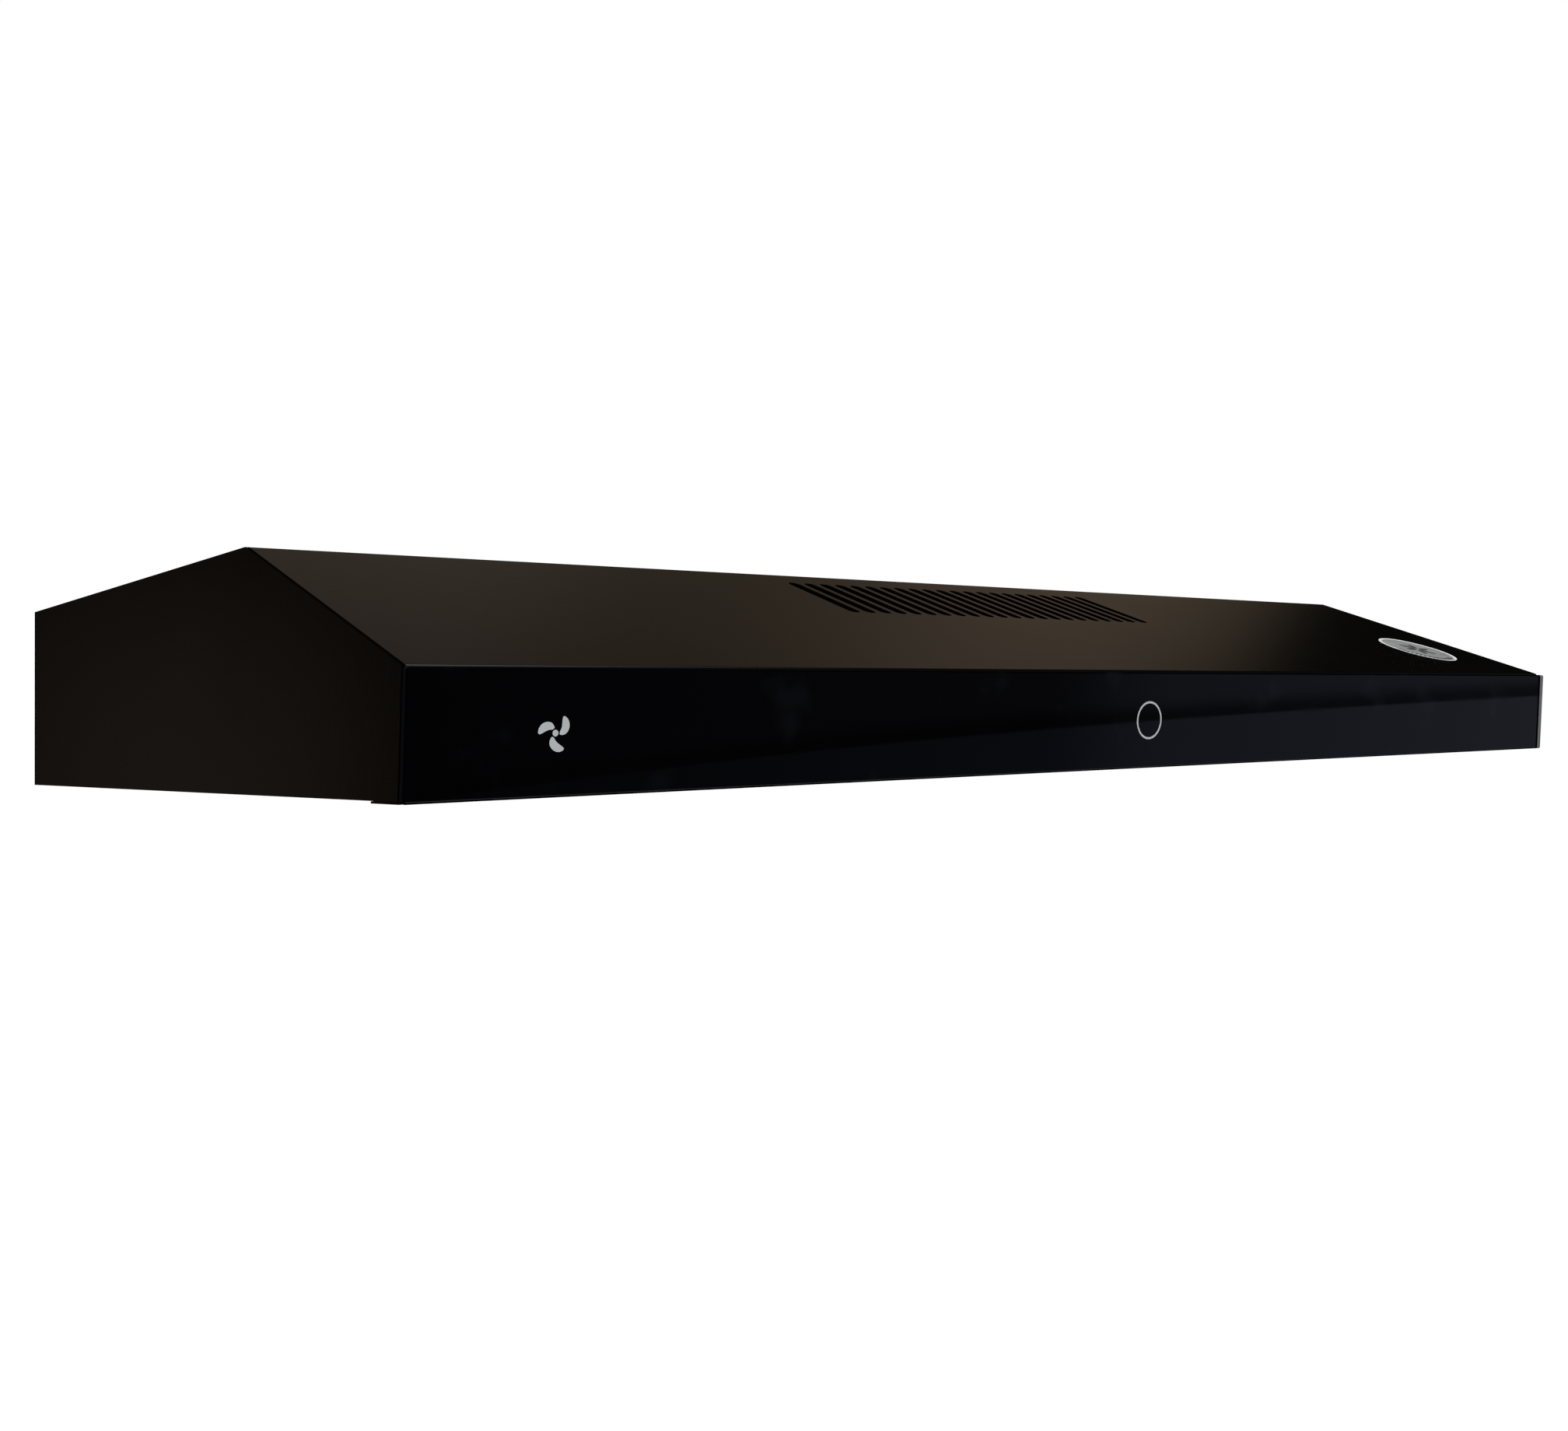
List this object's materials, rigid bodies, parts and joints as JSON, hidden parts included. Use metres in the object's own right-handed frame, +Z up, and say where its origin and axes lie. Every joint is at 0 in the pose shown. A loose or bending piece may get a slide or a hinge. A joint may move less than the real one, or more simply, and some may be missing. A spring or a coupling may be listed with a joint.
{
  "type": "under cabinet range hood",
  "caption": "Slim under cabinet range hood with a black glass front, a sloped top with vent slots, mesh filters, lamps, a blower and a round duct outlet.",
  "frame": {"origin": "middle of the footprint, level with the lower edge of the shell", "axes": "+X to the user's right, -Y the front with the glass, +Z up"},
  "size_m": [0.76, 0.51, 0.122],
  "materials": {
    "cabinet_paint": "fine satin, warm black",
    "fascia_glass": "polished, back-printed black",
    "foam_tape": "matt",
    "galvanised_sheet": "spangled zinc",
    "black_plastic": "fine moulded texture",
    "circuit_board": "solder mask",
    "zinc_steel": "bright zinc",
    "motor_metal": "laminated steel and end bells",
    "capacitor_can": "smooth",
    "lamp_lens": "frosted diffuser",
    "heat_sink": "cast, finned",
    "filter_frame": "rolled",
    "filter_mesh": "expanded mesh",
    "grommet_rubber": "matt",
    "cable_sheath": "smooth sheath"
  },
  "bodies": {
    "hood": {"back_panel": "cabinet_paint", "blower_box": "galvanised_sheet", "bottom_pan": "cabinet_paint", "cable_grommet": "grommet_rubber", "cable_plate": "galvanised_sheet", "capacitor": "capacitor_can", "capacitor_clip": "zinc_steel", "control_board": "circuit_board", "control_box": "black_plastic", "control_lid": "black_plastic", "damper_rod": "zinc_steel", "duct_collar": "galvanised_sheet", "fan_screws": "zinc_steel", "front_harness": "cable_sheath", "glass_front": "fascia_glass", "glass_tape": "foam_tape", "harness_clips": "black_plastic", "inlet_guard": "zinc_steel", "inlet_ring": "galvanised_sheet", "lamp_clips": "zinc_steel", "lamp_left_bezel": "black_plastic", "lamp_left_lens": "lamp_lens", "lamp_left_module": "heat_sink", "lamp_right_bezel": "black_plastic", "lamp_right_lens": "lamp_lens", "lamp_right_module": "heat_sink", "left_end_panel": "cabinet_paint", "motor_body": "motor_metal", "motor_flange": "galvanised_sheet", "pan_support_angles": "galvanised_sheet", "plastic_screws": "zinc_steel", "power_harness": "cable_sheath", "right_end_panel": "cabinet_paint", "scroll_cover": "black_plastic", "scroll_housing": "black_plastic", "sheet_screws": "zinc_steel", "terminal_block": "black_plastic", "top_shell": "cabinet_paint", "touch_board": "circuit_board", "touch_holder": "black_plastic", "wiring_box": "galvanised_sheet", "wiring_cover": "galvanised_sheet"},
    "impeller": {"impeller_wheel": "black_plastic", "impeller_shaft": "zinc_steel", "impeller_nut": "zinc_steel"},
    "filter_left": {"filter_left_frame": "filter_frame", "filter_left_mesh": "filter_mesh", "filter_left_latch_housing": "black_plastic", "filter_left_latch_spring": "zinc_steel"},
    "filter_right": {"filter_right_frame": "filter_frame", "filter_right_mesh": "filter_mesh", "filter_right_latch_housing": "black_plastic", "filter_right_latch_spring": "zinc_steel"},
    "latch_left": {"filter_left_latch": "zinc_steel"},
    "latch_right": {"filter_right_latch": "zinc_steel"},
    "damper_front": {"damper_flap_front": "galvanised_sheet"},
    "damper_rear": {"damper_flap_rear": "galvanised_sheet"},
    "vent_door": {"vent_door": "cabinet_paint", "vent_door_shaft": "zinc_steel", "vent_door_lever": "black_plastic"}
  },
  "joints": [
    {"name": "fan_spin", "type": "hinge", "parent": "hood", "child": "impeller", "pos_m": [0, 0.01, 0.06], "axis": [0, 0, 1], "continuous": true},
    {"name": "filter_left_drop", "type": "hinge", "parent": "hood", "child": "filter_left", "pos_m": [-0.179, 0.18, 0.0132], "axis": [1, 0, 0], "range_deg": [0, 60]},
    {"name": "latch_left_pull", "type": "slide", "parent": "filter_left", "child": "latch_left", "axis": [0, 1, 0], "range_m": [0, 0.007], "stiffness_N_per_m": 300, "springref_m": -0.004, "deforming": ["filter_left_latch_spring"]},
    {"name": "filter_right_drop", "type": "hinge", "parent": "hood", "child": "filter_right", "pos_m": [0.179, 0.18, 0.0132], "axis": [1, 0, 0], "range_deg": [0, 60]},
    {"name": "latch_right_pull", "type": "slide", "parent": "filter_right", "child": "latch_right", "axis": [0, 1, 0], "range_m": [0, 0.007], "stiffness_N_per_m": 300, "springref_m": -0.004, "deforming": ["filter_right_latch_spring"]},
    {"name": "damper_front_lift", "type": "hinge", "parent": "hood", "child": "damper_front", "pos_m": [0, 0.15, 0.107], "axis": [-1, 0, 0], "range_deg": [0, 80]},
    {"name": "damper_rear_lift", "type": "hinge", "parent": "hood", "child": "damper_rear", "pos_m": [0, 0.15, 0.107], "axis": [1, 0, 0], "range_deg": [0, 80]},
    {"name": "vent_door_turn", "type": "hinge", "parent": "hood", "child": "vent_door", "pos_m": [0, -0.178, 0.064], "axis": [1, 0, 0], "range_deg": [0, 42]}
  ]
}
